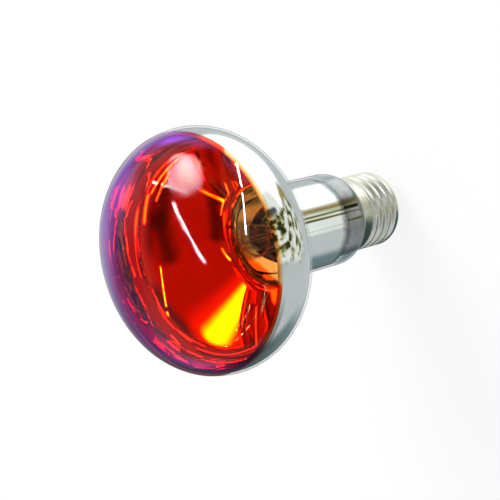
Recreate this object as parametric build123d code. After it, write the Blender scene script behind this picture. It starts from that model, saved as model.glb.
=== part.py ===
from build123d import *
from math import atan2, cos, degrees, pi, radians, sin, sqrt
import os

os.makedirs("parts", exist_ok=True)

# Colour reflector lamp. The axis is Z, the centre contact's tip is at Z = 0 and the face looks up.
# All sizes are in millimetres and all angles in degrees.

# Points nearer than this count as one
match_tolerance = 0.001

# Whole lamp
overall_length = 114.0
coat_thickness = 0.1

# Glass bulb, sizes of its outside
bulb_radius = 40.0
bulb_wall = 0.7
face_arc = 65.5
front_rim_arc = 19.15
back_rim_arc = 16.6
flank_angle = 50.0
crease_arc = 8.0
neck_step = 2.85
shoulder_rise = 4.4
shoulder_arc = 4.9
shoulder_angle = 65.0
foot_arc = 3.0
seal_clearance = 0.95
seal_depth = 8.7

# Layers on the glass, depths below the top of the face
coat_depth = 17.9
film_thickness = 0.12
film_depth = 16.9
film_end_depth = 77.5

# Screw cap
thread_radius = 13.1
thread_depth = 1.05
thread_pitch = 3.629
thread_length = 14.7
thread_start_turns = 0.7
thread_end_turns = 0.8
sections_per_turn = 10
shell_sheet = 0.3
skirt_length = 3.2
lip_height = 1.2
lip_flare = 0.45
shell_end_bend = 1.4
shell_turn_in = 3.6
glass_clearance = 0.1
cement_height = 2.6

# Contacts and insulator
solder_height = 1.0
solder_shoulder_height = 0.33
solder_radius = 3.0
contact_flat_radius = 1.3
plate_radius = 5.2
plate_thickness = 0.4
plate_hole_radius = 0.9
insulator_drop = 3.8
insulator_land = 0.6
insulator_clearance = 0.45
insulator_disc_height = 2.2
insulator_hole_radius = 1.1
solder_plug_height = 0.6
side_solder_radius = 0.65
side_solder_rise = 0.66

# Glass mount
flare_tube_radius = 4.1
flare_wall = 0.8
press_height_above_seal = 18.0
press_taper = 3.0
press_length = 9.0
press_width = 10.0
press_thickness = 3.6
exhaust_radius = 1.8
exhaust_wall = 0.6
exhaust_tip_drop = 4.5
rod_radius = 1.2
rod_length = 10.0
button_radius = 2.0

# Wires and filament
inner_lead_radius = 0.3
seal_wire_radius = 0.25
outer_lead_radius = 0.22
outer_lead_bend = 0.5
centre_lead_drop = 1.5
side_lead_drop = 2.2
side_lead_rise = 4.5
notch_rise = 0.35
notch_clearance = 0.1
lead_foot = 3.0
lead_bend = 1.5
filament_rise = 11.9
filament_arc_radius = 6.0
filament_gap_angle = 100.0
filament_tail_angle = 7.0
filament_coil_radius = 0.45
support_radius = 0.13
support_bend = 2.0
support_count = 3
support_eye_clearance = 0.04

# Radii that follow from the sizes
thread_bore_radius = thread_radius - thread_depth - shell_sheet
neck_radius = thread_radius + neck_step
seal_radius = thread_bore_radius - seal_clearance
shell_mouth_radius = thread_radius - shell_turn_in
insulator_foot_radius = plate_radius + insulator_land
insulator_disc_radius = thread_bore_radius - insulator_clearance

# Heights that follow from the sizes
plate_bottom = solder_height
plate_top = plate_bottom + plate_thickness
shell_bottom = plate_top + insulator_drop
thread_bottom = shell_bottom + shell_end_bend
thread_top = thread_bottom + thread_length
lip_bottom = thread_top + skirt_length
shell_top = lip_bottom + lip_height
apex = overall_length - coat_thickness
shoulder_top = shell_top + shoulder_rise
seal_bottom = shell_top - seal_depth
press_bottom = seal_bottom + press_height_above_seal
press_top = press_bottom + press_length
button_height = press_top + rod_length
filament_height = button_height + filament_rise
flare_arc = seal_radius - bulb_wall - flare_tube_radius
lead_offset = (exhaust_radius + flare_tube_radius - flare_wall) / 2
lead_exit_height = lip_bottom + notch_rise
widest_height = apex - face_arc + sqrt((face_arc - front_rim_arc) ** 2 - (bulb_radius - front_rim_arc) ** 2)


def turned(radius, height, angle, length):
    """Point at a distance from a centre in the axial plane, its angle taken down from the horizontal."""
    return (radius + length * cos(radians(angle)), 0, height - length * sin(radians(angle)))


def arc(radius, height, length, start, end):
    """Arc about a centre in the axial plane, between two angles taken down from the horizontal."""
    middle = (start + end) / 2
    points = [turned(radius, height, angle, length) for angle in (start, middle, end)]
    return ThreePointArc(*points)


def bulb_outline(inset):
    """Half section of the glass from the top of the face to the seal, moved inwards by the inset."""
    face_turn = degrees(atan2(bulb_radius - front_rim_arc, widest_height - apex + face_arc))
    flank_start = turned(bulb_radius - back_rim_arc, widest_height, flank_angle, back_rim_arc)
    crease_radius = neck_radius + crease_arc
    flank_run = (flank_start[0] - turned(crease_radius, 0, flank_angle, -crease_arc)[0]) / sin(radians(flank_angle))
    crease_height = flank_start[2] - flank_run * cos(radians(flank_angle)) - crease_arc * sin(radians(flank_angle))
    slope_start = turned(neck_radius - shoulder_arc, shoulder_top, shoulder_angle, shoulder_arc)
    foot_radius = seal_radius + foot_arc
    slope_run = (slope_start[0] - turned(foot_radius, 0, shoulder_angle, -foot_arc)[0]) / sin(radians(shoulder_angle))
    foot_height = slope_start[2] - slope_run * cos(radians(shoulder_angle)) - foot_arc * sin(radians(shoulder_angle))
    arcs = [
        arc(0, apex - face_arc, face_arc - inset, -90, face_turn - 90),
        arc(bulb_radius - front_rim_arc, widest_height, front_rim_arc - inset, face_turn - 90, 0),
        arc(bulb_radius - back_rim_arc, widest_height, back_rim_arc - inset, 0, flank_angle),
        arc(crease_radius, crease_height, -crease_arc - inset, flank_angle, 0),
        arc(neck_radius - shoulder_arc, shoulder_top, shoulder_arc - inset, 0, shoulder_angle),
        arc(foot_radius, foot_height, -foot_arc - inset, shoulder_angle, 0),
    ]
    edges = [arcs[0], arcs[1]]
    for before, after in zip(arcs[1:], arcs[2:]):
        if (before @ 1 - after @ 0).length > match_tolerance:
            edges.append(Line(before @ 1, after @ 0))
        edges.append(after)
    edges.append(Line(arcs[-1] @ 1, (seal_radius - inset, 0, seal_bottom)))
    return edges


def blown_layer(outer_inset, inner_inset):
    """Solid between two parallel outlines of the glass."""
    outer = bulb_outline(outer_inset)
    inner = bulb_outline(inner_inset)
    ends = [Line(outer[-1] @ 1, inner[-1] @ 1), Line(outer[0] @ 0, inner[0] @ 0)]
    return revolve(Face(Wire(outer + inner + ends)), Axis.Z)


def glass_body(clearance):
    """Everything inside the glass outline, grown by a clearance."""
    outline = bulb_outline(-clearance)
    start = outline[0] @ 0
    end = outline[-1] @ 1
    foot = (0, 0, end.Z)
    return revolve(Face(Wire(outline + [Line(end, foot), Line(foot, start)])), Axis.Z)


def slab(low, high):
    """Round slab wider than the bulb."""
    return Pos(0, 0, low) * Cylinder(2 * bulb_radius, high - low, align=(Align.CENTER, Align.CENTER, Align.MIN))


def turned_solid(points):
    """Solid of revolution of a closed outline given as radius and height."""
    return revolve(Face(Wire.make_polygon([(r, 0, z) for r, z in points])), Axis.Z)


def tube(outer_radius, inner_radius, low, high):
    """Round tube along the axis."""
    return turned_solid([(inner_radius, low), (outer_radius, low), (outer_radius, high), (inner_radius, high)])


def wire_along(points, bend, radius):
    """Round wire along straight runs with bends of one radius."""
    path = FilletPolyline(*points, radius=bend)
    return sweep(Plane(path @ 0, z_dir=path % 0) * Circle(radius), path)


def thread_swing(height):
    """Half the thread's depth at a height, fading out at both ends of the thread."""
    upper = (thread_top - height) / (thread_pitch * thread_start_turns)
    lower = (height - thread_bottom) / (thread_pitch * thread_end_turns)
    share = max(0.0, min(1.0, upper, lower))
    return thread_depth / 2 * share * share * (3 - 2 * share)


def thread_section(height, inset):
    """Circle whose centre runs round a small helix, which gives a rolled knuckle thread."""
    swing = thread_swing(height)
    turn = 2 * pi * height / thread_pitch
    centre = (swing * cos(turn), swing * sin(turn), height)
    return Wire.make_circle(thread_radius - swing - inset, Plane(centre))


def lies_at(face, height):
    """Whether a face lies flat at a height."""
    bounds = face.bounding_box()
    return max(abs(bounds.min.Z - height), abs(bounds.max.Z - height)) < match_tolerance


def rolled_thread(inset):
    """Body inside the thread's surface, moved inwards by the inset."""
    steps = round(sections_per_turn * thread_length / thread_pitch)
    heights = [thread_bottom + thread_length * step / steps for step in range(steps + 1)]
    return Solid.make_loft([thread_section(height, inset) for height in heights])


def skirt_and_lip():
    """Plain skirt above the thread, with its lip flared outwards."""
    return turned_solid([
        (thread_radius - shell_sheet, thread_top),
        (thread_radius, thread_top),
        (thread_radius, lip_bottom),
        (thread_radius + lip_flare, shell_top),
        (thread_radius + lip_flare - shell_sheet, shell_top),
        (thread_radius - shell_sheet, lip_bottom),
    ])


def turned_in_end():
    """End of the shell below the thread, bent in to hold the insulator."""
    bend_centre = thread_radius - shell_end_bend
    seat = shell_bottom + shell_sheet
    return revolve(Face(Wire([
        arc(bend_centre, thread_bottom, shell_end_bend, 0, 90),
        Line((bend_centre, 0, shell_bottom), (shell_mouth_radius, 0, shell_bottom)),
        Line((shell_mouth_radius, 0, shell_bottom), (shell_mouth_radius, 0, seat)),
        Line((shell_mouth_radius, 0, seat), (bend_centre, 0, seat)),
        arc(bend_centre, thread_bottom, shell_end_bend - shell_sheet, 90, 0),
        Line((thread_radius - shell_sheet, 0, thread_bottom), (thread_radius, 0, thread_bottom)),
    ])), Axis.Z)


def threaded_shell():
    """Rolled screw shell of one sheet: its stretches are sewn along the thread's two end circles."""
    stretches = [rolled_thread(0), rolled_thread(shell_sheet), skirt_and_lip(), turned_in_end()]
    faces = [face for stretch in stretches for face in stretch.faces()]
    skin = [face for face in faces if not lies_at(face, thread_top) and not lies_at(face, thread_bottom)]
    return Solid(Shell(skin))


def lip_outside():
    """Everything inside the outer surface of the lip and skirt."""
    return turned_solid([
        (0, thread_top),
        (thread_radius, thread_top),
        (thread_radius, lip_bottom),
        (thread_radius + lip_flare, shell_top),
        (0, shell_top),
    ])


def side_lead_outer():
    """Copper wire from the press down, out under the glass foot, up beside it and out at the rim."""
    beside = (seal_radius + thread_bore_radius) / 2
    low = seal_bottom - side_lead_drop
    inside_lip = thread_radius - shell_sheet - outer_lead_radius - notch_clearance
    return wire_along([
        (-lead_offset, 0, press_bottom),
        (-lead_offset, 0, low),
        (-beside, 0, low),
        (-beside, 0, low + side_lead_drop + side_lead_rise),
        (-inside_lip, 0, lead_exit_height),
        (-thread_radius - lip_flare, 0, lead_exit_height),
    ], outer_lead_bend, outer_lead_radius)


def centre_lead_outer():
    """Copper wire from the press to the solder of the centre contact."""
    bend_height = seal_bottom - exhaust_tip_drop - centre_lead_drop
    return wire_along([
        (lead_offset, 0, press_bottom),
        (lead_offset, 0, bend_height),
        (0, 0, bend_height - lead_offset),
        (0, 0, plate_top + solder_plug_height),
    ], outer_lead_bend, outer_lead_radius)


def cap_shell():
    """Screw shell with the notch for the side lead, clear of the glass."""
    half_width = outer_lead_radius + notch_clearance
    reach = lip_flare + shell_sheet + notch_clearance
    notch = Pos(-thread_radius, 0, lead_exit_height - half_width) * Box(
        2 * reach, 2 * half_width, 2 * lip_height, align=(Align.CENTER, Align.CENTER, Align.MIN))
    return threaded_shell() - glass_body(glass_clearance) - notch


def cap_cement():
    """Ring of cement between the skirt and the glass, with the side lead's channel."""
    ring = Pos(0, 0, lip_bottom - cement_height) * Cylinder(
        thread_radius - shell_sheet, cement_height, align=(Align.CENTER, Align.CENTER, Align.MIN))
    return ring - glass_body(0) - side_lead_outer()


def cap_insulator():
    """Black glass plug: disc inside the shell, cone below it, and the hole for the lead."""
    seat = shell_bottom + shell_sheet
    return turned_solid([
        (insulator_hole_radius, plate_top),
        (insulator_foot_radius, plate_top),
        (shell_mouth_radius, shell_bottom),
        (shell_mouth_radius, seat),
        (insulator_disc_radius, seat),
        (insulator_disc_radius, seat + insulator_disc_height),
        (insulator_hole_radius, seat + insulator_disc_height),
    ])


def contact_solder():
    """Solder mound with a flat tip, and the plug that fills the plate's hole."""
    shoulder_radius = (solder_radius + contact_flat_radius) / 2
    shoulder = (shoulder_radius, 0, solder_shoulder_height)
    edges = [
        Line((0, 0, 0), (contact_flat_radius, 0, 0)),
        ThreePointArc((contact_flat_radius, 0, 0), shoulder, (solder_radius, 0, plate_bottom)),
        Line((solder_radius, 0, plate_bottom), (0, 0, plate_bottom)),
        Line((0, 0, plate_bottom), (0, 0, 0)),
    ]
    mound = revolve(Face(Wire(edges)), Axis.Z)
    plug = Pos(0, 0, plate_bottom) * Cylinder(
        plate_hole_radius, plate_thickness + solder_plug_height, align=(Align.CENTER, Align.CENTER, Align.MIN))
    return mound + plug


def side_solder():
    """Solder bead on the outside of the lip, over the end of the side lead."""
    bead = Pos(-thread_radius - lip_flare / 2, 0, lip_bottom + side_solder_rise) * Sphere(side_solder_radius)
    return bead - lip_outside() - glass_body(glass_clearance) - side_lead_outer()


def stem_flare():
    """Flared foot tube and the flat press that seals the wires."""
    centre = seal_radius - bulb_wall
    middle = seal_bottom + flare_arc
    bore = flare_tube_radius - flare_wall
    edges = [
        Line((seal_radius, 0, seal_bottom), (centre, 0, seal_bottom)),
        arc(centre, middle, flare_arc, 90, 180),
        Line((flare_tube_radius, 0, middle), (flare_tube_radius, 0, press_bottom)),
        Line((flare_tube_radius, 0, press_bottom), (bore, 0, press_bottom)),
        Line((bore, 0, press_bottom), (bore, 0, middle)),
        arc(centre, middle, flare_arc + flare_wall, 180, 90),
        Line((centre, 0, seal_bottom - flare_wall), (seal_radius, 0, seal_bottom - flare_wall)),
        Line((seal_radius, 0, seal_bottom - flare_wall), (seal_radius, 0, seal_bottom)),
    ]
    foot = revolve(Face(Wire(edges)), Axis.Z)
    flat = press_bottom + press_taper
    pinch = loft([
        Pos(0, 0, press_bottom) * Circle(flare_tube_radius),
        Pos(0, 0, flat) * Ellipse(press_width / 2, press_thickness / 2),
    ])
    block = extrude(Pos(0, 0, flat) * Ellipse(press_width / 2, press_thickness / 2), press_top - flat)
    stem = foot + pinch + block
    for side in (-1, 1):
        stem -= seal_wire(side)
    return stem


def seal_wire(side):
    """Sealing wire through the press."""
    return Pos(side * lead_offset, 0, press_bottom) * Cylinder(
        seal_wire_radius, press_length, align=(Align.CENTER, Align.CENTER, Align.MIN))


def exhaust_tube():
    """Pumping tube below the press, closed at its tip."""
    tip = seal_bottom - exhaust_tip_drop
    bore = exhaust_radius - exhaust_wall
    centre = tip + exhaust_radius
    edges = [
        arc(0, centre, exhaust_radius, 90, 0),
        Line((exhaust_radius, 0, centre), (exhaust_radius, 0, press_bottom)),
        Line((exhaust_radius, 0, press_bottom), (bore, 0, press_bottom)),
        Line((bore, 0, press_bottom), (bore, 0, centre)),
        arc(0, centre, bore, 0, 90),
        Line((0, 0, centre - bore), (0, 0, tip)),
    ]
    return revolve(Face(Wire(edges)), Axis.Z)


def ring_point(angle):
    """Point of the filament's centre line at an angle about the axis."""
    return (filament_arc_radius * cos(radians(angle)), filament_arc_radius * sin(radians(angle)), filament_height)


def filament():
    """Outer shape of the coiled wire, bent into a horseshoe that is open towards +Y."""
    section = Plane.XZ * Pos(filament_arc_radius, filament_height) * Circle(filament_coil_radius)
    horseshoe = revolve(section, Axis.Z, 360 - filament_gap_angle)
    return Rot(0, 0, 90 + filament_gap_angle / 2) * horseshoe


def inner_lead(side):
    """Nickel lead from the press to one end of the filament."""
    angle = 90 - side * (filament_gap_angle / 2 + filament_tail_angle)
    end = ring_point(angle)
    lead = wire_along([
        (side * lead_offset, 0, press_top),
        (side * lead_offset, 0, press_top + lead_foot),
        (end[0], end[1], end[2] - lead_foot),
        end,
    ], lead_bend, inner_lead_radius)
    return lead - filament()


def support_angle(index):
    """Angle of a hook about the axis, the hooks spread evenly along the filament."""
    span = 360 - filament_gap_angle
    return 90 + filament_gap_angle / 2 + span * (index + 1) / (support_count + 1)


def support(index):
    """Hook from the button, with an eye round the filament."""
    eye_radius = filament_coil_radius + support_eye_clearance + support_radius
    stalk = wire_along([
        (button_radius / 2, 0, button_height),
        (filament_arc_radius, 0, button_height),
        (filament_arc_radius, 0, filament_height - eye_radius),
    ], support_bend, support_radius)
    eye = Pos(filament_arc_radius, 0, filament_height) * Rot(90, 0, 0) * Torus(eye_radius, support_radius)
    return Rot(0, 0, support_angle(index)) * (stalk + eye)


def stem_rod():
    """Glass rod on the press with the button that holds the hooks."""
    rod = Pos(0, 0, press_top) * Cylinder(rod_radius, rod_length, align=(Align.CENTER, Align.CENTER, Align.MIN))
    button = rod + Pos(0, 0, button_height) * Sphere(button_radius)
    socket = Pos(button_radius / 2, 0, button_height) * Rot(0, 90, 0) * Cylinder(
        support_radius, button_radius, align=(Align.CENTER, Align.CENTER, Align.MIN))
    for index in range(support_count):
        button -= Rot(0, 0, support_angle(index)) * socket
    return button


nodes = {
    "glass_bulb": blown_layer(0, bulb_wall),
    "mirror_film": blown_layer(bulb_wall, bulb_wall + film_thickness) & slab(apex - film_end_depth, apex - film_depth),
    "colour_coat": blown_layer(-coat_thickness, 0) & slab(apex - coat_depth, overall_length + coat_thickness),
    "cap_shell": cap_shell(),
    "cap_cement": cap_cement(),
    "cap_insulator": cap_insulator(),
    "contact_plate": tube(plate_radius, plate_hole_radius, plate_bottom, plate_top),
    "contact_solder": contact_solder(),
    "side_solder": side_solder(),
    "stem_flare": stem_flare(),
    "exhaust_tube": exhaust_tube(),
    "stem_rod": stem_rod(),
    "centre_lead_inner": inner_lead(1),
    "side_lead_inner": inner_lead(-1),
    "centre_lead_seal": seal_wire(1),
    "side_lead_seal": seal_wire(-1),
    "centre_lead_outer": centre_lead_outer(),
    "side_lead_outer": side_lead_outer(),
    "filament": filament(),
}
for index in range(support_count):
    nodes[f"filament_support_{index + 1}"] = support(index)

for name, solid in nodes.items():
    export_step(solid, f"parts/{name}.step")
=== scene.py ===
# %% [markdown]
# # A reflector bulb with a red face
# The bulb is one blown glass envelope with a thin metal lining, a clear red lacquer on its face and a rolled screw
# cap. Inside it, a glass stem carries the leads and the filament. Everything here is in metres, in the frame of the
# CAD model: the axis is Z, the tip of the centre contact is at the origin and the face looks up.

# %% Load the frame
import bpy
import math
from mathutils import Matrix, Vector


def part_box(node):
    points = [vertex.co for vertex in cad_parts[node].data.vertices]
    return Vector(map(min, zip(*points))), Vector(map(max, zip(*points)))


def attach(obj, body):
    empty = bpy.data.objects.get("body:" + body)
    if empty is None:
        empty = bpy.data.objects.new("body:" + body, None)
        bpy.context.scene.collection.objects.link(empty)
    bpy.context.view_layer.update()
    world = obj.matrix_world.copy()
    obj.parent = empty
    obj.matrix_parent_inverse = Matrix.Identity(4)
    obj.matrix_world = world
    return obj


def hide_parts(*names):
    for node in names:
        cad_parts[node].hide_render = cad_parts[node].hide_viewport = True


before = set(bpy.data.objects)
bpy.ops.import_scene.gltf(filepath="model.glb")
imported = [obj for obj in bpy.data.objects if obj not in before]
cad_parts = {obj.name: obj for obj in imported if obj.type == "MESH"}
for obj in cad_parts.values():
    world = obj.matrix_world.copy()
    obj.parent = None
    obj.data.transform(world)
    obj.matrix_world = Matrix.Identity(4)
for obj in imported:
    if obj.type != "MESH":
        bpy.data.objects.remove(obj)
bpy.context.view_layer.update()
mm = 0.001

# %% [markdown]
# ## The camera
# The bulb is seen from 45 degrees above its face, with its axis lying across the picture. The camera could be turned
# by hand until the picture fits, but numbers can be read again later. A camera in Blender looks down its own -Z. So its
# three axes are worked out from where the bulb's axis has to point in the picture, and they become the columns of its
# matrix.

# %% The camera
camera_elevation = math.radians(45.04)
camera_azimuth = math.radians(20.0)
axis_slant_in_picture = math.radians(14.89)
apex_right_of_centre = -31.03 * mm
apex_above_centre = -4.83 * mm
apex_distance = 447.23 * mm
pixels_per_mm_at_apex = 3.28
picture_width = 500
focal_ratio = pixels_per_mm_at_apex * apex_distance / mm / picture_width
sensor_width = 36
nearest_in_view = 10 * mm


def camera_matrix():
    """Places the camera so that the apex of the face and the bulb's axis lie where the picture has them."""
    away = Vector((math.cos(camera_elevation) * math.cos(camera_azimuth),
                   math.cos(camera_elevation) * math.sin(camera_azimuth),
                   math.sin(camera_elevation)))
    level = Vector((-math.sin(camera_azimuth), math.cos(camera_azimuth), 0))
    upright = away.cross(level)
    turn = math.pi / 2 + axis_slant_in_picture
    right = level * math.cos(turn) - upright * math.sin(turn)
    up = level * math.sin(turn) + upright * math.cos(turn)
    apex = Vector((0, 0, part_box("glass_bulb")[1][2]))
    place = apex - right * apex_right_of_centre - up * apex_above_centre + away * apex_distance
    return Matrix((
        (right.x, up.x, away.x, place.x),
        (right.y, up.y, away.y, place.y),
        (right.z, up.z, away.z, place.z),
        (0, 0, 0, 1)))


camera_data = bpy.data.cameras.new("camera")
camera = bpy.data.objects.new("camera", camera_data)
bpy.context.scene.collection.objects.link(camera)
camera.matrix_world = camera_matrix()
camera_data.sensor_width = sensor_width
camera_data.lens = sensor_width * focal_ratio
camera_data.clip_start = nearest_in_view
bpy.context.scene.camera = camera
bpy.context.scene.view_settings.view_transform = "Standard"
print("camera at", [round(v, 4) for v in camera.location], "lens", round(camera_data.lens, 1), "mm")

# %% [markdown]
# ## Short names for shader nodes
# A finish is a small network of nodes. It could be laid out by hand in the shader editor, but a script can be read and
# changed in one place. These helpers add a node and set or link its inputs in one line, so that each finish below
# reads as a recipe. The first three make a material and its nodes.

# %% Materials and nodes
def material(name):
    """New node material with only its output node."""
    made = bpy.data.materials.new(name)
    made.use_nodes = True
    made.node_tree.nodes.clear()
    out = made.node_tree.nodes.new("ShaderNodeOutputMaterial")
    return made, made.node_tree, out


def plug(tree, socket, value):
    """Links a socket to an input, or writes a plain value into it."""
    if isinstance(value, bpy.types.NodeSocket):
        tree.links.new(value, socket)
    else:
        socket.default_value = value


def add(tree, kind, **inputs):
    """Adds a node. An input is named as in Blender, with _ for a space, or by its number, such as _0."""
    node = tree.nodes.new(kind)
    for key, value in inputs.items():
        name = key.replace("_", " ")
        plug(tree, node.inputs[name] if name in node.inputs else node.inputs[int(key[1:])], value)
    return node


print("helpers for materials and nodes are ready")

# %% [markdown]
# Most values of a finish, such as how thick a layer is at a place, come from sums. The next helpers add a sum of
# numbers, a sum of vectors and a smooth step from one value to another. A mirror would show a hard step as a line.

# %% Sums in a finish
def maths(tree, operation, a, b, clamp=False):
    """Math node of two values or sockets."""
    node = tree.nodes.new("ShaderNodeMath")
    node.operation = operation
    node.use_clamp = clamp
    plug(tree, node.inputs[0], a)
    plug(tree, node.inputs[1], b)
    return node.outputs[0]


def vector(tree, operation, a, b=(0, 0, 0)):
    """Vector math node, with its number for a dot product or a distance."""
    node = tree.nodes.new("ShaderNodeVectorMath")
    node.operation = operation
    plug(tree, node.inputs[0], a)
    if operation == "SCALE":
        plug(tree, node.inputs["Scale"], b)
    elif operation != "NORMALIZE":
        plug(tree, node.inputs[1], b)
    return node.outputs["Value" if operation in ("DOT_PRODUCT", "DISTANCE") else "Vector"]


def fade(tree, value, low, high, start=0.0, end=1.0):
    """Goes smoothly from start to end while the value goes from low to high."""
    node = add(tree, "ShaderNodeMapRange", Value=value)
    node.interpolation_type = "SMOOTHSTEP"
    for name, number in (("From Min", low), ("From Max", high), ("To Min", start), ("To Max", end)):
        node.inputs[name].default_value = number
    return node.outputs["Result"]


print("helpers for sums are ready")

# %% [markdown]
# The last helpers mix colours and shaders, and give cloudy noise and the relief that can be made from it.

# %% Colours and patterns
def blend(tree, share, a, b):
    """Colour between two colours or sockets."""
    node = tree.nodes.new("ShaderNodeMix")
    node.data_type = "RGBA"
    plug(tree, node.inputs["Factor"], share)
    for socket, value in zip([s for s in node.inputs if s.type == "RGBA"], (a, b)):
        plug(tree, socket, value)
    return next(s for s in node.outputs if s.type == "RGBA")


def ramp(tree, value, stops):
    """Colour ramp through stops of position and colour or grey."""
    node = add(tree, "ShaderNodeValToRGB", Fac=value)
    marks = node.color_ramp.elements
    while len(marks) < len(stops):
        marks.new(0.5)
    for mark, (position, tone) in zip(marks, stops):
        mark.position = position
        mark.color = tuple(tone) + (1,) if isinstance(tone, tuple) else (tone, tone, tone, 1)
    return node.outputs["Color"]


def cover(tree, share, under, over):
    """Mix of two shaders."""
    return add(tree, "ShaderNodeMixShader", _0=share, _1=under, _2=over).outputs[0]


def spots(tree, scale, detail, place=None):
    """Soft cloudy noise from 0 to 1 over the piece's own coordinates, in spots per metre."""
    if place is None:
        place = tree.nodes.new("ShaderNodeTexCoord").outputs["Object"]
    return add(tree, "ShaderNodeTexNoise", Vector=place, Scale=scale, Detail=detail).outputs[0]


def relief(tree, height, depth):
    """Normal of a surface raised by a pattern, its depth in metres."""
    return add(tree, "ShaderNodeBump", Height=height, Distance=depth, Strength=1.0).outputs[0]


print("helpers for colours and patterns are ready")

# %% [markdown]
# ## The floor
# The bulb stands over a plain white floor. A white matte surface alone would need so much light that the bulb would
# burn out. So camera rays see most of the floor as glowing paper, and the rest is a matte surface that still takes the
# bulb's shadow.

# %% The floor
floor_radius = 3.0
floor_sides = 96
floor_gap = 0.5 * mm
glowing_share = 0.85
floor_white = (0.9, 0.9, 0.9, 1)
floor_material, tree, out = material("white_floor")
matte = add(tree, "ShaderNodeBsdfDiffuse", Color=floor_white)
glow = add(tree, "ShaderNodeEmission", Color=(1, 1, 1, 1), Strength=1.0)
sight = tree.nodes.new("ShaderNodeLightPath").outputs["Is Camera Ray"]
share = maths(tree, "MULTIPLY", sight, glowing_share)
plug(tree, out.inputs[0], cover(tree, share, matte.outputs[0], glow.outputs[0]))
bpy.ops.mesh.primitive_circle_add(
    vertices=floor_sides, radius=floor_radius, fill_type="NGON", location=(0, 0, -floor_gap))
floor = bpy.context.object
floor.name = "floor"
floor.data.materials.append(floor_material)
floor.visible_glossy = False
print("floor at", round(floor.location.z / mm, 2), "mm")

# %% [markdown]
# ## The room
# A mirror shows whatever stands round it, so most of what the eye sees on this bulb is the room. Walls and lamps could
# be modelled round it, but a mirror only asks what lies in each direction. So the room is painted on the world. Each
# thing in it is a band between two directions, given in degrees round from the camera and up from the level, and its
# edge fades over a few degrees.

# %% Bands of the room
shortest_band = 1e-9


def towards(round_from_camera, up):
    """Unit vector of a direction given in degrees."""
    turn = math.radians(round_from_camera) + camera_azimuth
    rise = math.radians(up)
    return Vector((math.cos(rise) * math.cos(turn), math.cos(rise) * math.sin(turn), math.sin(rise)))


def nearest(tree, place, first, last):
    """Point of the straight line between two points that lies nearest to a place."""
    along = last - first
    if along.length < shortest_band:
        return tuple(first)
    start_to_place = vector(tree, "SUBTRACT", place, tuple(first))
    covered = vector(tree, "DOT_PRODUCT", start_to_place, tuple(along))
    share = maths(tree, "MULTIPLY", covered, 1 / along.length_squared, clamp=True)
    return vector(tree, "ADD", vector(tree, "SCALE", tuple(along), share), tuple(first))


def band(tree, ray, start, end, half_width, softness):
    """1 on a band of the room between two directions and 0 away from it."""
    near = vector(tree, "NORMALIZE", nearest(tree, ray, towards(*start), towards(*end)))
    off = vector(tree, "DISTANCE", ray, near)
    inner, outer = math.radians(half_width - softness), math.radians(half_width + softness)
    return fade(tree, off, inner, outer, 1.0, 0.0)


def paint(tree, ray, picture, bands):
    """Lays bands of the room over a picture of it, one after the other."""
    for name, start, end, half_width, softness, colour, strength in bands:
        tone = tuple(c * strength for c in colour) + (1,)
        picture = blend(tree, band(tree, ray, start, end, half_width, softness), picture, tone)
    return picture


print("straight ahead is", [round(v, 3) for v in towards(0, 0)])

# %% [markdown]
# The lower half of the room is a grey table with white paper and a few dark things on it. In the upper half a wall, a
# cupboard and a curtain are dim, and a pane and the glow round the window are bright. A later row lies over the rows
# before it.

# %% Walls and table
# Each row: name, from and to (round, up), half width, softness in degrees, colour, strength.
room_walls = [
    ("paper behind the bulb", (95, -40), (200, -44), 25, 12, (0.95, 0.98, 1.0), 0.6),
    ("shaded table", (-110, -42), (-142, -45), 14, 8, (0.7, 0.98, 1.0), 0.24),
    ("dark floor behind the bulb", (176, -42), (-166, -40), 16, 8, (0.8, 0.8, 1.0), 0.15),
    ("white paper", (34, -30), (80, -34), 27, 4, (1.0, 1.0, 0.99), 1.5),
    ("paper under the neck", (-2, -20), (18, -20), 16, 4, (1.0, 1.0, 0.96), 0.95),
    ("dark shelf on the table", (-12, -12), (-12, -50), 5, 2, (1.0, 0.8, 0.35), 0.16),
    ("dark box", (15, -6), (16, -22), 4, 1.5, (1.0, 0.98, 0.9), 0.1),
    ("second dark box", (8, -54), (8, -54), 7, 2, (1.0, 1.0, 0.9), 0.12),
    ("wooden edge", (30, -52), (42, -58), 6, 3, (1.0, 0.75, 0.3), 0.4),
    ("left wall", (158, -4), (178, -2), 15, 11, (0.85, 0.88, 1.0), 0.62),
    ("bright pane", (149, 16), (152, 12), 8, 6, (0.95, 0.8, 1.0), 1.4),
    ("dim wall", (178, 24), (-152, -20), 15, 10, (0.75, 0.8, 1.0), 0.22),
    ("dark corner of the table", (-148, -26), (-116, -20), 18, 12, (0.9, 1.0, 0.95), 0.08),
    ("dark cupboard", (28, 18), (74, 17), 10, 8, (1.0, 0.8, 0.8), 0.2),
    ("dark curtain", (-58, 34), (-20, 32), 9, 9, (1.0, 0.7, 0.5), 0.3),
    ("glow round the window", (104, 35), (104, 35), 25, 11, (1.0, 0.96, 0.9), 1.8),
]
print(len(room_walls), "bands of wall and table")

# %% [markdown]
# The window, a violet screen, a lamp and some thin tubes light the room. The window and the tubes are as bright as
# they have to be to show in the lacquer, which mirrors little of them or lets little through. That is too much for
# light which falls on matte pieces and dull metal. For those the window is dimmed, and two soft bands take the place of
# the small lights: bright paper over the cap and a shadow under it.

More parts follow.
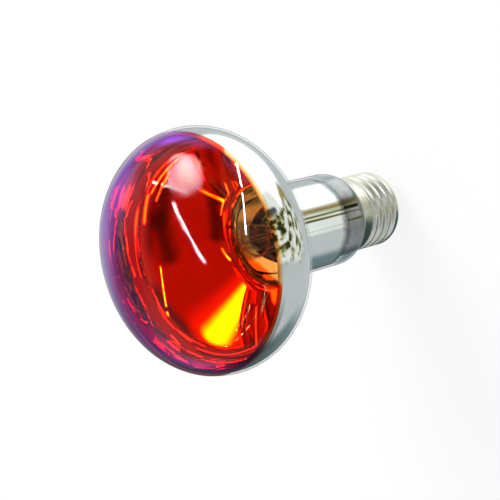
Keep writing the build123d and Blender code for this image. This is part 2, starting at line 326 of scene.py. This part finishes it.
# %% Lights
window = ((102, 31.5), (108, 44), 9, 8, (1.0, 0.98, 0.97))
room_lights = [
    ("violet screen", (52, 3), (120, -8), 7, 6, (0.45, 0.38, 1.0), 3.6),
    ("window", *window, 380.0),
    ("warm lamp", (-64, 17), (-42, 20.5), 2.2, 2, (1.0, 0.9, 0.5), 80.0),
    ("long tube", (131.9, 54.6), (145.5, 71.0), 0.9, 0.3, (1, 1, 1), 600.0),
    ("its other half", (152.0, 74.0), (-152.8, 79.1), 0.9, 0.3, (1, 1, 1), 600.0),
    ("tall tube", (64.0, -8.0), (45.0, 14.3), 0.8, 0.3, (1, 1, 1), 450.0),
    ("its upper half", (39.5, 21.0), (5.3, 48.2), 0.8, 0.3, (1, 1, 1), 450.0),
    ("cross tube", (137.7, 34.6), (115.7, 55.8), 0.4, 0.2, (1, 1, 1), 380.0),
    ("short tube", (125.6, 34.5), (127.2, 45.6), 0.5, 0.2, (1, 1, 1), 380.0),
    ("low tube", (-67.8, 37.2), (-96.6, 33.0), 0.8, 0.3, (1.0, 0.8, 0.35), 260.0),
    ("lowest tube", (-69.2, 22.1), (-112.7, 23.2), 0.8, 0.3, (1.0, 0.7, 0.3), 260.0),
]
seen_by_dull_pieces = [
    ("paper over the cap", (100, -15), (-172, -5), 42, 22, (1.0, 1.0, 1.0), 0.95),
    ("shadow under the cap", (-58, -46), (-125, -40), 22, 9, (0.65, 1.0, 0.98), 0.12),
    ("dimmed window", *window, 7.0),
]
print(len(room_lights), "lights for the mirrors, and", len(seen_by_dull_pieces), "bands for dull pieces")

# %% [markdown]
# On the table lies a heap of small things, dark and light, drawn with noise and a colour ramp. Then the world gets
# three views of the room: sharp mirror rays see all of it, other light sees the soft one, and the camera itself sees
# white paper. The soft one goes through a Gamma node. It takes the dark parts down, so that dull metal keeps its
# contrast.

# %% The room on the world
heap_place = ((-7, -8), (-1, -58), 18.5, 3)
heap_grain = (10.0, 10.0, 3.4)
heap_tones = [
    (0.37, (0.03, 0.035, 0.015)), (0.45, (0.26, 0.24, 0.08)),
    (0.50, (0.56, 0.54, 0.34)), (0.57, (0.92, 0.92, 0.88)),
]
upper_room = (0.64, 0.66, 0.68, 1)
lower_room = (0.60, 0.605, 0.61, 1)
level_blur = 0.1
soft_light_gamma = 1.3
soft_light_strength = 1.15
most_clear_surfaces = 32
most_mirror_bounces = 8
world = bpy.data.worlds.new("room")
bpy.context.scene.world = world
world.use_nodes = True
tree = world.node_tree
tree.nodes.clear()
ray = tree.nodes.new("ShaderNodeTexCoord").outputs["Generated"]
height = vector(tree, "DOT_PRODUCT", ray, (0, 0, 1))
painted = blend(tree, fade(tree, height, -level_blur, level_blur), lower_room, upper_room)
painted = paint(tree, ray, painted, room_walls)
heap = ramp(tree, spots(tree, 1.0, 3.0, vector(tree, "MULTIPLY", ray, heap_grain)), heap_tones)
painted = blend(tree, band(tree, ray, *heap_place), painted, heap)
soft_light = paint(tree, ray, painted, seen_by_dull_pieces)
painted = paint(tree, ray, painted, room_lights)
path = tree.nodes.new("ShaderNodeLightPath")
mirror_view = add(tree, "ShaderNodeBackground", Color=painted, Strength=1.0)
contrast = add(tree, "ShaderNodeGamma", Color=soft_light, Gamma=soft_light_gamma)
matte_view = add(tree, "ShaderNodeBackground", Color=contrast.outputs[0], Strength=soft_light_strength)
paper_view = add(tree, "ShaderNodeBackground", Color=(1, 1, 1, 1), Strength=1.0)
indirect = cover(tree, path.outputs["Is Singular Ray"], matte_view.outputs[0], mirror_view.outputs[0])
seen = cover(tree, path.outputs["Is Camera Ray"], indirect, paper_view.outputs[0])
out = tree.nodes.new("ShaderNodeOutputWorld")
plug(tree, out.inputs[0], seen)
bpy.context.scene.cycles.transparent_max_bounces = most_clear_surfaces
bpy.context.scene.cycles.glossy_bounces = most_mirror_bounces
print("world", world.name, "has", len(tree.nodes), "nodes")

# %% [markdown]
# ## The blown glass
# The envelope is a body of revolution: a shallow dome, a tight round rim, a straight cone and a neck, all joined by
# arcs that meet tangentially. It could be a lathe modifier on a curve, but the lining and the lacquer follow the same
# outline a few hundredths of a millimetre away. So one function gives the outline at any inset, and all three layers
# are turned from it.

# %% Measures of the glass
bulb_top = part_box("glass_bulb")[1][2]
bulb_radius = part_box("glass_bulb")[1][0]
glass_wall = 0.7 * mm
face_arc = 65.5 * mm
front_rim_arc = 19.15 * mm
back_rim_arc = 16.6 * mm
flank_angle = math.radians(50.0)
crease_arc = 8.0 * mm
neck_radius = 15.95 * mm
shoulder_arc = 4.9 * mm
shoulder_angle = math.radians(65.0)
foot_arc = 3.0 * mm
seal_radius = 10.8 * mm
cap_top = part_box("cap_shell")[1][2]
shoulder_top = cap_top + 4.4 * mm
seal_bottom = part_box("glass_bulb")[0][2]
print("glass from", round(seal_bottom / mm, 1), "to", round(bulb_top / mm, 1), "mm, radius", round(bulb_radius / mm, 1))

# %% [markdown]
# From the face down, the outline has three bulging arcs, a straight flank, a hollow crease, the neck, a bulging
# shoulder, a straight slope and a hollow foot. A bulging arc and the hollow one below it are joined by a straight line
# that touches both, and its slope sets how far down the hollow one lies.

# %% Arcs of the outline
same_point = 1e-6


def arc_points(radius, height, length, start, end, step):
    """Points on an arc in the axial plane, its angles taken down from the horizontal."""
    count = max(2, math.ceil(abs((end - start) * length) / step))
    angles = [start + (end - start) * i / count for i in range(count + 1)]
    return [(radius + length * math.cos(a), height - length * math.sin(a)) for a in angles]


def hollow_height(centre, bulge, hollow_centre_radius, hollow, slope):
    """Height of the centre of a hollow arc that a straight line joins to the bulging arc above it."""
    sine, cosine = math.sin(slope), math.cos(slope)
    run = (centre[0] + bulge * cosine - hollow_centre_radius + hollow * cosine) / sine
    return centre[1] - bulge * sine - run * cosine - hollow * sine


def thinned(points):
    """Drops points that repeat the one before them."""
    kept = [points[0]]
    for point in points[1:]:
        if math.dist(point, kept[-1]) > same_point:
            kept.append(point)
    return kept


quarter = arc_points(0, 0, mm, 0, math.pi / 2, mm / 2)
print("a quarter circle of 1 mm radius gets", len(quarter), "points")

# %% Outline of the glass
def glass_outline(inset, step=0.8 * mm):
    """Radius and height of points down the outside of the glass, moved inwards by the inset."""
    centre = bulb_top - face_arc
    rim_centre = bulb_radius - front_rim_arc
    widest = centre + math.sqrt((face_arc - front_rim_arc) ** 2 - rim_centre ** 2)
    face_turn = math.atan2(rim_centre, widest - centre) - math.pi / 2
    back = bulb_radius - back_rim_arc
    points = arc_points(0, centre, face_arc - inset, -math.pi / 2, face_turn, step)
    points += arc_points(rim_centre, widest, front_rim_arc - inset, face_turn, 0, step)
    points += arc_points(back, widest, back_rim_arc - inset, 0, flank_angle, step)
    crease = neck_radius + crease_arc
    crease_height = hollow_height((back, widest), back_rim_arc, crease, crease_arc, flank_angle)
    points += arc_points(crease, crease_height, -crease_arc - inset, flank_angle, 0, step / 2)
    shoulder = neck_radius - shoulder_arc
    points += arc_points(shoulder, shoulder_top, shoulder_arc - inset, 0, shoulder_angle, step / 3)
    foot = seal_radius + foot_arc
    foot_height = hollow_height((shoulder, shoulder_top), shoulder_arc, foot, foot_arc, shoulder_angle)
    points += arc_points(foot, foot_height, -foot_arc - inset, shoulder_angle, 0, step / 3)
    points.append((seal_radius - inset, seal_bottom))
    return thinned(points)


def cut_between(points, low, high):
    """The stretch of an outline between two heights, with its ends on them."""
    kept = []
    for (r0, z0), (r1, z1) in zip(points, points[1:]):
        for edge in (high, low):
            if (z0 - edge) * (z1 - edge) < 0:
                share = (z0 - edge) / (z0 - z1)
                kept.append((r0 + (r1 - r0) * share, edge))
        if low <= z1 <= high:
            kept.append((r1, z1))
    if low <= points[0][1] <= high:
        kept.insert(0, points[0])
    return kept


outline = glass_outline(0)
print("outline of", len(outline), "points, widest", round(max(r for r, z in outline) / mm, 2), "mm")

# %% [markdown]
# ## Turning the layers
# The glass, the metal lining and the lacquer are three closed shells in their real order, with a hair of air between
# them, so light passes through each of them in turn. Blender's Screw modifier could turn their outlines, but a short
# loop about Z does it too, and gives the faces at once. Smooth shading rounds the corner at the end of a shell, and it
# would bend the light all along the next stretch. One more ring close to each end keeps it to a hair's breadth.

# %% The lathe
on_axis_within = 1e-7
segments_round = 192


def lathe(name, outline):
    """Smooth closed mesh turned about Z from points of radius and height."""
    verts, rings = [], []
    for radius, height in outline:
        start = len(verts)
        on_axis = abs(radius) < on_axis_within
        for i in range(1 if on_axis else segments_round):
            turn = 2 * math.pi * i / segments_round
            verts.append((radius * math.cos(turn), radius * math.sin(turn), height))
        rings.append([start] * segments_round if on_axis else list(range(start, start + segments_round)))
    faces = []
    for upper, lower in zip(rings, rings[1:] + rings[:1]):
        for i in range(segments_round):
            j = (i + 1) % segments_round
            corners = list(dict.fromkeys((upper[i], lower[i], lower[j], upper[j])))
            if len(corners) > 2:
                faces.append(corners)
    mesh = bpy.data.meshes.new(name)
    mesh.from_pydata(verts, [], faces)
    mesh.polygons.foreach_set("use_smooth", [True] * len(faces))
    obj = bpy.data.objects.new(name, mesh)
    bpy.context.scene.collection.objects.link(obj)
    print(name, "has", len(mesh.polygons), "faces")
    return obj


print("a full turn has", segments_round, "segments")

# %% The three layers
close_ring = 0.02 * mm
air = 0.01 * mm
lining_thickness = 0.11 * mm
coat_thickness = 0.1 * mm
coat_edge = bulb_top - 17.9 * mm
lining_top = bulb_top - 16.9 * mm
lining_end = bulb_top - 77.5 * mm


def with_close_rings(points):
    """The same outline with one more point close to each end."""
    def near(end, other):
        share = close_ring / math.dist(end, other)
        return tuple(a + (b - a) * share for a, b in zip(end, other))
    return [points[0], near(points[0], points[1])] + points[1:-1] + [near(points[-1], points[-2]), points[-1]]


def layer(name, outer_inset, inner_inset, low=-1.0, high=1.0):
    """Thin closed shell between two insets of the glass outline, and between two heights where they are given."""
    outer = with_close_rings(cut_between(glass_outline(outer_inset), low, high))
    inner = with_close_rings(cut_between(glass_outline(inner_inset), low, high))
    return lathe(name, outer + inner[::-1])


glass = layer("blown_glass", 0, glass_wall)
lining = layer("silver_lining", glass_wall + air, glass_wall + air + lining_thickness, lining_end, lining_top)
coat = layer("red_coat", -coat_thickness, -air, coat_edge)
for piece, node, slot in (
        (glass, "glass_bulb", "clear_glass"),
        (lining, "mirror_film", "mirror_film"),
        (coat, "colour_coat", "red_lacquer")):
    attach(piece, "root")
    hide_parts(node)

# %% [markdown]
# ## Clear glass
# The bulb's glass is clear, with a faint green tint. Blender's Glass shader could bend the light in it, but a wall this
# thin hardly does. So each surface lets light straight through, and mirrors a little of it: 4 percent seen straight on
# and nearly all of it at the limb. Layer Weight's Facing gives the angle, and its fifth power is the usual short form
# of that law.

# %% How much a clear surface mirrors
clear_glass_mirrors = 0.04
limb_power = 5.0


def piece_place(tree):
    """Place on the piece in the coordinates of the CAD model, and its height alone."""
    place = tree.nodes.new("ShaderNodeTexCoord").outputs["Object"]
    return place, add(tree, "ShaderNodeSeparateXYZ", Vector=place).outputs["Z"]


def side(tree, place, direction):
    """1 on the side of the axis that a level direction points to, 0 across it and -1 on the far side."""
    outwards = vector(tree, "NORMALIZE", vector(tree, "MULTIPLY", place, (1, 1, 0)))
    return vector(tree, "DOT_PRODUCT", outwards, tuple(direction))


def glancing(tree, least):
    """Share of light that a clear surface mirrors, from the least when seen straight on."""
    facing = add(tree, "ShaderNodeLayerWeight", Blend=0.5).outputs["Facing"]
    return maths(tree, "ADD", maths(tree, "MULTIPLY", maths(tree, "POWER", facing, limb_power), 1 - least), least)


print("seen straight on, clear glass mirrors", clear_glass_mirrors, "of the light")

# %% [markdown]
# The envelope mirrors only light from outside, because inside it the lining is far brighter than the glass's own mirror
# images. Under the lacquer it mirrors nothing: the two touch there with no air between them, so only the lacquer's skin
# does. Behind the lining's end, on one side of the neck, a haze of metal still lies on the bare glass. It makes the
# glass greyer there, and lets it mirror more.

# %% Clear glass
bulb_middle = (0, 0, bulb_top - 27 * mm)
cord_scale, ripple_scale = 70.0, 55.0
cord_tint = (0.97, 0.985, 0.98, 1)
haze_tint = (0.58, 0.65, 0.67, 1)
haze_start = 1 * mm
haze_side = towards(0, 0)
haze_cloud_scale = 120.0
haze_mirrors = (0.10, 0.28)


def bare_outside(tree, place, height):
    """1 where light meets the envelope's bare glass from outside, 0 within it and under the lacquer."""
    from_middle = vector(tree, "SUBTRACT", place, bulb_middle)
    normal = tree.nodes.new("ShaderNodeNewGeometry").outputs["Normal"]
    outside = maths(tree, "GREATER_THAN", vector(tree, "DOT_PRODUCT", normal, from_middle), 0.0)
    return maths(tree, "MULTIPLY", outside, maths(tree, "LESS_THAN", height, coat_edge))


def clear_glass(name, tint, ripple=0.0, envelope=False):
    """Clear glass with faint cords in its tint and, where asked, ripples in its surface."""
    made, tree, out = material(name)
    cords = fade(tree, spots(tree, cord_scale, 2.0), 0.35, 0.65)
    tinted = blend(tree, cords, tint, cord_tint)
    gloss = add(tree, "ShaderNodeBsdfGlossy", Color=(1, 1, 1, 1), Roughness=0.0)
    if ripple:
        plug(tree, gloss.inputs["Normal"], relief(tree, spots(tree, ripple_scale, 1.0), ripple))
    share = glancing(tree, clear_glass_mirrors)
    if envelope:
        place, height = piece_place(tree)
        behind_film = fade(tree, height, lining_end - haze_start, lining_end + haze_start, 1.0, 0.0)
        haze = maths(tree, "MULTIPLY", behind_film, fade(tree, side(tree, place, haze_side), 0.0, 0.5))
        clouds = fade(tree, spots(tree, haze_cloud_scale, 3.0, place), 0.25, 0.75, *haze_mirrors)
        tinted = blend(tree, haze, tinted, haze_tint)
        share = maths(tree, "ADD", share, maths(tree, "MULTIPLY", clouds, haze), clamp=True)
        share = maths(tree, "MULTIPLY", share, bare_outside(tree, place, height))
    through = add(tree, "ShaderNodeBsdfTransparent", Color=tinted)
    plug(tree, out.inputs[0], cover(tree, share, through.outputs[0], gloss.outputs[0]))
    return made


glass.data.materials.append(clear_glass("clear_glass", (0.955, 0.975, 0.972, 1), envelope=True))
print("clear glass on", glass.name)

# %% [markdown]
# ## The metal lining
# Aluminium steamed onto the inside of the glass makes a mirror. A plain metal of even tone would do for most of it, but
# the real film is thin and greyer at its ragged end on the neck. On one side of its front edge, a dark green-grey band
# is
# a painted reflection: it stands in for something dark that the mirror would show there. So the height and the side set
# its tone. Noise added to the height makes the end ragged.

# %% Tone of the lining
bright_film = (0.82, 0.83, 0.835, 1), (0.90, 0.905, 0.91, 1)
film_cloud_scale = 40.0
# Painted reflection: the next three lines give a dark green-grey band on one side of the film's front edge.
painted_edge_reflection_tone = (0.34, 0.38, 0.34, 1)
painted_edge_reflection_side = towards(-85, 0)
painted_edge_reflection_low, painted_edge_reflection_high = coat_edge - 2.8 * mm, coat_edge - 2.0 * mm
thin_end_tone, thin_end_share = (0.10, 0.115, 0.12, 1), 0.8
thin_end_low, thin_end_high = lining_end + 2.5 * mm, lining_end + 5.5 * mm
ragged_scale, ragged_by = 150.0, 4 * mm
silver, tree, out = material("silvered_film")
place, height = piece_place(tree)
film_tone_and_painted_reflections = blend(tree, fade(tree, spots(tree, film_cloud_scale, 4.0, place), 0.3, 0.7), *bright_film)
# Mask of the painted dark reflection at the front edge, on one side only.
painted_edge_reflection_share = maths(tree, "MULTIPLY", fade(tree, height, painted_edge_reflection_low, painted_edge_reflection_high),
                   fade(tree, side(tree, place, painted_edge_reflection_side), 0.5, 0.8))
film_tone_and_painted_reflections = blend(tree, painted_edge_reflection_share, film_tone_and_painted_reflections, painted_edge_reflection_tone)
ragged_height = maths(tree, "ADD", height, maths(tree, "MULTIPLY", spots(tree, ragged_scale, 3.0, place), ragged_by))
end_share = fade(tree, ragged_height, thin_end_low, thin_end_high, thin_end_share, 0.0)
film_tone_and_painted_reflections = blend(tree, end_share, film_tone_and_painted_reflections, thin_end_tone)
print("the film gets dull from", round(thin_end_high / mm, 1), "mm down")

# %% [markdown]
# Dull brown patches on the far side of the cone are painted reflections: they stand in for dark things that the mirror
# would show there, and are painted into the film's colour. Each is all that lies near a line between two points of the
# cone, and noise moves every place a little, so that its edge is ragged. The noise moves a place by half its reach on
# average, so the line is moved by that too.

# %% Painted dark reflections in the lining
# Painted reflections: dark brown patches painted into the film's colour.
painted_reflection_spot_tone = (0.10, 0.12, 0.04, 1)
painted_reflection_spot_share = 0.85
painted_reflection_spot_grain, painted_reflection_spot_ragged_by = 160.0, 3.0 * mm
# Each row, in millimetres: from and to on the cone, half width and softness.
painted_reflection_spots = [
    ((-30.6, 13.0, 77.6), (-33.0, 3.0, 77.3), 2.6, 2.2),
    ((-33.0, 3.0, 77.3), (-30.6, -9.0, 76.4), 3.2, 2.6),
    ((-18.1, 11.0, 67.3), (-18.4, -2.0, 64.9), 2.0, 1.6),
]
grain = add(tree, "ShaderNodeTexNoise", Vector=place, Scale=painted_reflection_spot_grain, Detail=3.0).outputs["Color"]
rough_place = vector(tree, "ADD", place, vector(tree, "SCALE", grain, painted_reflection_spot_ragged_by))
# Each painted dark reflection darkens the film's colour near its line.
for first, last, half_width, softness in painted_reflection_spots:
    ends = [Vector(point) * mm + Vector((1, 1, 1)) * painted_reflection_spot_ragged_by / 2 for point in (first, last)]
    off = vector(tree, "DISTANCE", rough_place, nearest(tree, rough_place, *ends))
    painted_reflection_spot = fade(tree, off, (half_width - softness) * mm, (half_width + softness) * mm, painted_reflection_spot_share, 0.0)
    film_tone_and_painted_reflections = blend(tree, painted_reflection_spot, film_tone_and_painted_reflections, painted_reflection_spot_tone)
print(len(painted_reflection_spots), "smudges in the lining")

# %% [markdown]
# The glass under the film has soft ripples, and a little relief gives them to the mirror. At its front end, under the
# lacquer, the film fades out within a few tenths of a millimetre, so that no cut edge shows.

# %% The metal lining
lining_ripple = 0.05 * mm
film_fades_at, film_gone_at = lining_top - 0.3 * mm, lining_top - 0.1 * mm
ripples = relief(tree, spots(tree, ripple_scale, 1.0, place), lining_ripple)
metal = add(tree, "ShaderNodeBsdfPrincipled", Base_Color=film_tone_and_painted_reflections, Metallic=1.0, Roughness=0.0, Normal=ripples)
bare = tree.nodes.new("ShaderNodeBsdfTransparent")
film_share = fade(tree, height, film_fades_at, film_gone_at, 1.0, 0.0)
plug(tree, out.inputs[0], cover(tree, film_share, bare.outputs[0], metal.outputs[0]))
lining.data.materials.append(silver)
print("lining from", round(lining_end / mm, 1), "to", round(lining_top / mm, 1), "mm")

# %% [markdown]
# ## The red lacquer
# The lacquer on the face is clear and deeply coloured. A volume could colour the light by the length of its way through
# it, but a thin layer does the same for less with a tint at its surface, as a power of its thickness. Light crosses it
# on the way in and again on the way out, so the mirror behind shows red, and only the window shows yellow. On one side
# the lacquer runs thin, up to a wavy border some way in from its edge, and the same law turns it gold there.

# %% Thickness of the lacquer
full_coat_lets_through = {"Red": 0.975, "Green": 0.275, "Blue": 0.04}
thin_side = towards(11, 0)
thin_reach, reach_elsewhere = 9 * mm, -2 * mm
thin_at_edge, thin_inside = 0.15, 0.45
thin_rises_over = 2.5 * mm
full_coat_low, full_coat_high = coat_edge - 1.2 * mm, coat_edge + 1.4 * mm
wave_scale, wave_height = 90.0, 4.0 * mm
red, tree, out = material("red_lacquer")
place, height = piece_place(tree)
wobble = maths(tree, "MULTIPLY", maths(tree, "SUBTRACT", spots(tree, wave_scale, 3.0, place), 0.5), wave_height)
reach = fade(tree, side(tree, place, thin_side), 0.75, 1.0, reach_elsewhere, thin_reach)
above_border = maths(tree, "SUBTRACT", maths(tree, "ADD", height, wobble), reach)
thin_coat = fade(tree, height, coat_edge, coat_edge + thin_rises_over, thin_at_edge, thin_inside)
thickness = maths(tree, "MAXIMUM", thin_coat, fade(tree, above_border, full_coat_low, full_coat_high))
tint = tree.nodes.new("ShaderNodeCombineColor")
for channel, share in full_coat_lets_through.items():
    plug(tree, tint.inputs[channel], maths(tree, "POWER", share, thickness))
through = add(tree, "ShaderNodeBsdfTransparent", Color=tint.outputs[0])
print("two passes let", round(full_coat_lets_through["Green"] ** 4, 4), "of the green light through the full coat")

# %% [markdown]
# Seen at a slant, the lacquer's skin mirrors the room with a violet sheen, as thin interference lacquers do. One colour
# ramp over Facing gives the share that it mirrors, and another its colour. Where the lacquer is thin, it mirrors as
# clear lacquer does. Only the outer surface has a skin, and it starts just inside the edge.

# %% The red lacquer
thin_coat_mirrors = 0.02
skin_low, skin_high = coat_edge + 0.05 * mm, coat_edge + 0.3 * mm
sheen_strength = [
    (0.0, 0.0020), (0.3, 0.0024), (0.45, 0.06), (0.56, 0.33),
    (0.66, 0.72), (0.71, 0.82), (0.89, 0.92), (1.0, 0.95),
]
sheen_colour = [
    (0.4, (1, 0.92, 1)), (0.56, (0.7, 0.22, 1.0)), (0.66, (0.55, 0.4, 1.0)),
    (0.71, (0.65, 0.52, 1.0)), (0.89, (0.95, 0.97, 1.0)),
]
facing = add(tree, "ShaderNodeLayerWeight", Blend=0.5).outputs["Facing"]
sheen = blend(tree, thickness, (1, 1, 1, 1), ramp(tree, facing, sheen_colour))
strength = blend(tree, thickness, glancing(tree, thin_coat_mirrors), ramp(tree, facing, sheen_strength))
outside = maths(tree, "SUBTRACT", 1.0, tree.nodes.new("ShaderNodeNewGeometry").outputs["Backfacing"])
skin = maths(tree, "MULTIPLY", outside, fade(tree, height, skin_low, skin_high))
gloss = add(tree, "ShaderNodeBsdfGlossy", Color=sheen, Roughness=0.0)
plug(tree, out.inputs[0], cover(tree, maths(tree, "MULTIPLY", strength, skin), through.outputs[0], gloss.outputs[0]))
coat.data.materials.append(red)
print("lacquer edge at", round(coat_edge / mm, 1), "mm")

# %% [markdown]
# ## The cap and the pieces inside
# The cap is rolled from thin bright sheet, which has fine lines round it and a few dull clouds. Inside, a glass stem
# carries nickel leads and molybdenum hooks. Sealing wires go through its press, and tinned copper runs on to a brass
# plate and two beads of solder. All of them could be modelled again here, but their forms are plain, so they stay the
# CAD solids. Two recipes, one for metal and one for matt pieces, give each its finish, and the stem gets clear glass
# with ripples in it.

# %% Recipes for metal and for matt pieces
def metal_finish(name, colour, dull, roughness, scale=300.0, depth=0.01 * mm, stretch=(1, 1, 1)):
    """Metal with clouds of a duller tone and a fine grain, which may be stretched round the piece."""
    made, tree, out = material(name)
    place = vector(tree, "MULTIPLY", tree.nodes.new("ShaderNodeTexCoord").outputs["Object"], stretch)
    clouds = fade(tree, spots(tree, scale, 4.0, place), 0.35, 0.7)
    shader = add(tree, "ShaderNodeBsdfPrincipled", Base_Color=blend(tree, clouds, colour, dull), Metallic=1.0,
                 Roughness=fade(tree, spots(tree, scale / 2, 2.0, place), 0.2, 0.8, roughness * 0.7, roughness * 1.4),
                 Normal=relief(tree, spots(tree, scale * 4, 3.0, place), depth))
    plug(tree, out.inputs[0], shader.outputs[0])
    return made


def matt_finish(name, colour, other, roughness, scale=900.0, depth=0.1 * mm):
    """Matt or glassy solid with two mixed tones and a grain."""
    made, tree, out = material(name)
    clouds = fade(tree, spots(tree, scale, 5.0), 0.35, 0.65)
    shader = add(tree, "ShaderNodeBsdfPrincipled", Base_Color=blend(tree, clouds, colour, other),
                 Roughness=roughness, Normal=relief(tree, spots(tree, scale * 2, 4.0), depth))
    plug(tree, out.inputs[0], shader.outputs[0])
    return made


print("recipes for metal and matt pieces are ready")

# %% Finishes of the solid pieces
lines_round_the_cap = (1, 1, 6)
cap_sheet = metal_finish("cap_aluminium", (0.78, 0.79, 0.74, 1), (0.64, 0.67, 0.54, 1), 0.27,
                         160.0, 0.015 * mm, lines_round_the_cap)
cement = matt_finish("cement", (0.22, 0.225, 0.23, 1), (0.12, 0.12, 0.125, 1), 0.85)
black_glass = matt_finish("black_glass", (0.015, 0.014, 0.02, 1), (0.04, 0.035, 0.05, 1), 0.12, 500.0, 0.02 * mm)
brass = metal_finish("contact_brass", (0.86, 0.66, 0.36, 1), (0.62, 0.45, 0.24, 1), 0.3, 700.0)
solder = metal_finish("solder", (0.78, 0.78, 0.80, 1), (0.52, 0.52, 0.55, 1), 0.35, 900.0, 0.05 * mm)
stem_glass = clear_glass("mount_glass", (0.93, 0.96, 0.95, 1), 0.03 * mm)
nickel = metal_finish("nickel", (0.72, 0.69, 0.62, 1), (0.50, 0.47, 0.42, 1), 0.25, 1200.0)
seal_wire = metal_finish("seal_wire", (0.70, 0.30, 0.20, 1), (0.45, 0.16, 0.10, 1), 0.4, 1200.0)
tinned_copper = metal_finish("tinned_copper", (0.66, 0.60, 0.54, 1), (0.50, 0.42, 0.36, 1), 0.3, 1200.0)
molybdenum = metal_finish("molybdenum", (0.45, 0.44, 0.44, 1), (0.30, 0.29, 0.29, 1), 0.35, 1500.0)
finishes = {
    "cap_shell": cap_sheet, "cap_cement": cement, "cap_insulator": black_glass, "contact_plate": brass,
    "contact_solder": solder, "side_solder": solder, "stem_flare": stem_glass, "exhaust_tube": stem_glass,
    "stem_rod": stem_glass, "centre_lead_inner": nickel, "side_lead_inner": nickel, "centre_lead_seal": seal_wire,
    "side_lead_seal": seal_wire, "centre_lead_outer": tinned_copper, "side_lead_outer": tinned_copper,
    "filament_support_1": molybdenum, "filament_support_2": molybdenum, "filament_support_3": molybdenum,
}
for name, finish in finishes.items():
    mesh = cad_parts[name].data
    mesh.materials.clear()
    mesh.materials.append(finish)
print(len(finishes), "solid pieces have their finish")

# %% [markdown]
# ## The filament
# The CAD model has only the filament's outer shape. The real one is a fine tungsten wire wound into a coil, and the
# coil is bent into a horseshoe. A curve with a bevel could make it. A loop is as short and sets the faces itself: it
# walks along the horseshoe and turns round it at the same time, and every step gives one ring of the wire's surface.

# %% Measures of the filament
horseshoe_radius = 6.0 * mm
coil_radius = 0.40 * mm
wire_radius = 0.05 * mm
open_angle = math.radians(100.0)
coil_pitch = 0.24 * mm
steps_per_turn = 14
wire_sides = 6
filament_low, filament_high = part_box("filament")
filament_height = (filament_low[2] + filament_high[2]) / 2
arc_length = horseshoe_radius * (2 * math.pi - open_angle)
turns = round(arc_length / coil_pitch)
print("horseshoe", round(arc_length / mm, 1), "mm long, for a coil of", turns, "turns")

# %% The filament
def coil_point(angle, winding):
    """Point on the wire's centre line, at an angle round the horseshoe and an angle round the coil."""
    radius = horseshoe_radius + coil_radius * math.cos(winding)
    height = filament_height + coil_radius * math.sin(winding)
    return Vector((radius * math.cos(angle), radius * math.sin(angle), height))


def wire_mesh(name, points, radius, sides):
    """Tube along a list of points."""
    verts, faces = [], []
    for i, point in enumerate(points):
        along = (points[min(i + 1, len(points) - 1)] - points[max(i - 1, 0)]).normalized()
        across = along.cross(Vector((0, 0, 1))).normalized()
        up = across.cross(along)
        for s in range(sides):
            turn = 2 * math.pi * s / sides
            verts.append(point + across * radius * math.cos(turn) + up * radius * math.sin(turn))
    for i in range(len(points) - 1):
        for s in range(sides):
            t = (s + 1) % sides
            faces.append((i * sides + s, i * sides + t, (i + 1) * sides + t, (i + 1) * sides + s))
    faces.append(tuple(range(sides))[::-1])
    faces.append(tuple((len(points) - 1) * sides + s for s in range(sides)))
    mesh = bpy.data.meshes.new(name)
    mesh.from_pydata(verts, [], faces)
    mesh.polygons.foreach_set("use_smooth", [True] * len(mesh.polygons))
    obj = bpy.data.objects.new(name, mesh)
    bpy.context.scene.collection.objects.link(obj)
    return obj


start_angle = math.pi / 2 + open_angle / 2
points = []
for i in range(turns * steps_per_turn + 1):
    share = i / (turns * steps_per_turn)
    points.append(coil_point(start_angle + share * (2 * math.pi - open_angle), 2 * math.pi * turns * share))
coil = wire_mesh("filament_coil", points, wire_radius, wire_sides)
tungsten = metal_finish("tungsten", (0.42, 0.41, 0.42, 1), (0.28, 0.27, 0.28, 1), 0.4, 3000.0, 0.002 * mm)
coil.data.materials.append(tungsten)
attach(coil, "root")
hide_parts("filament")
print("filament of", turns, "turns and", len(coil.data.polygons), "faces")
